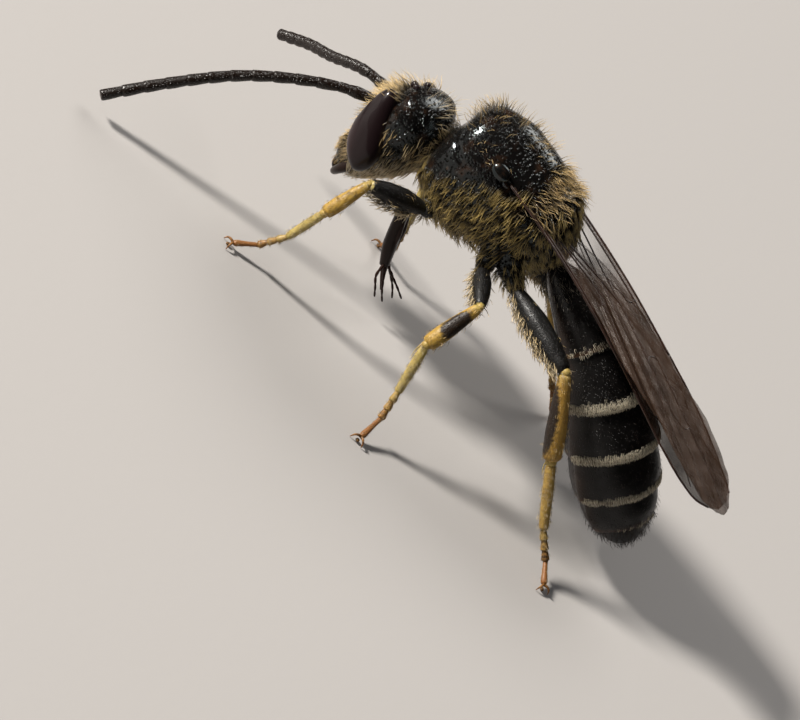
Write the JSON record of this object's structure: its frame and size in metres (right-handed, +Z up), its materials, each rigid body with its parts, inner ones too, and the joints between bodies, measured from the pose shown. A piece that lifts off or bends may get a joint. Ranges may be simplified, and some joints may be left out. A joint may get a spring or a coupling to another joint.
{
  "type": "furrow bee",
  "caption": "Male furrow bee standing on six feet, feelers forward, tongue out, wings folded flat along its back, as a still, life-size model.",
  "frame": {"origin": "on the floor, under the middle of the bee's footprint", "axes": "-Y toward the head, +X toward the bee's left side, +Z up"},
  "size_m": [0.007, 0.0146, 0.0057],
  "materials": {
    "black_shell": "black, finely pitted, with a soft shine",
    "golden_coat": "fine branched hairs, golden to olive",
    "eye_glaze": "very dark purple-brown, smooth and glossy",
    "feeler": "dark brown, finely downy",
    "dark_leg": "black-brown with pale hairs",
    "yellow_leg": "amber yellow with brown patches",
    "mouthparts": "dark maroon-brown",
    "wing_membrane": "smoky, thin and clear, slightly rainbowed"
  },
  "bodies": {
    "root": {"thorax_front": "golden_coat", "thorax_middle": "black_shell", "thorax_rear": "golden_coat", "eye_left": "eye_glaze", "eye_right": "eye_glaze", "head": "black_shell", "clypeus": "golden_coat", "mandible_left": "mouthparts", "mandible_right": "mouthparts", "neck": "golden_coat", "scape_left": "feeler", "flagellum_left_1": "feeler", "flagellum_left_2": "feeler", "flagellum_left_3": "feeler", "scape_right": "feeler", "flagellum_right_1": "feeler", "flagellum_right_2": "feeler", "flagellum_right_3": "feeler", "proboscis_base": "mouthparts", "proboscis_tip": "mouthparts", "abdomen_1": "black_shell", "abdomen_2": "black_shell", "abdomen_3": "black_shell", "abdomen_4": "black_shell", "abdomen_5": "black_shell", "abdomen_6": "black_shell", "coxa_fore_left": "dark_leg", "femur_fore_left": "dark_leg", "tibia_fore_left": "yellow_leg", "tarsus_fore_left": "yellow_leg", "coxa_fore_right": "dark_leg", "femur_fore_right": "dark_leg", "tibia_fore_right": "yellow_leg", "tarsus_fore_right": "yellow_leg", "coxa_middle_left": "dark_leg", "femur_middle_left": "dark_leg", "tibia_middle_left": "yellow_leg", "tarsus_middle_left": "yellow_leg", "coxa_middle_right": "dark_leg", "femur_middle_right": "dark_leg", "tibia_middle_right": "yellow_leg", "tarsus_middle_right": "yellow_leg", "coxa_hind_left": "dark_leg", "femur_hind_left": "dark_leg", "tibia_hind_left": "yellow_leg", "tarsus_hind_left": "yellow_leg", "coxa_hind_right": "dark_leg", "femur_hind_right": "dark_leg", "tibia_hind_right": "yellow_leg", "tarsus_hind_right": "yellow_leg", "tegula_left": "black_shell", "tegula_right": "black_shell", "wing_left": "wing_membrane", "wing_right": "wing_membrane"}
  },
  "joints": []
}
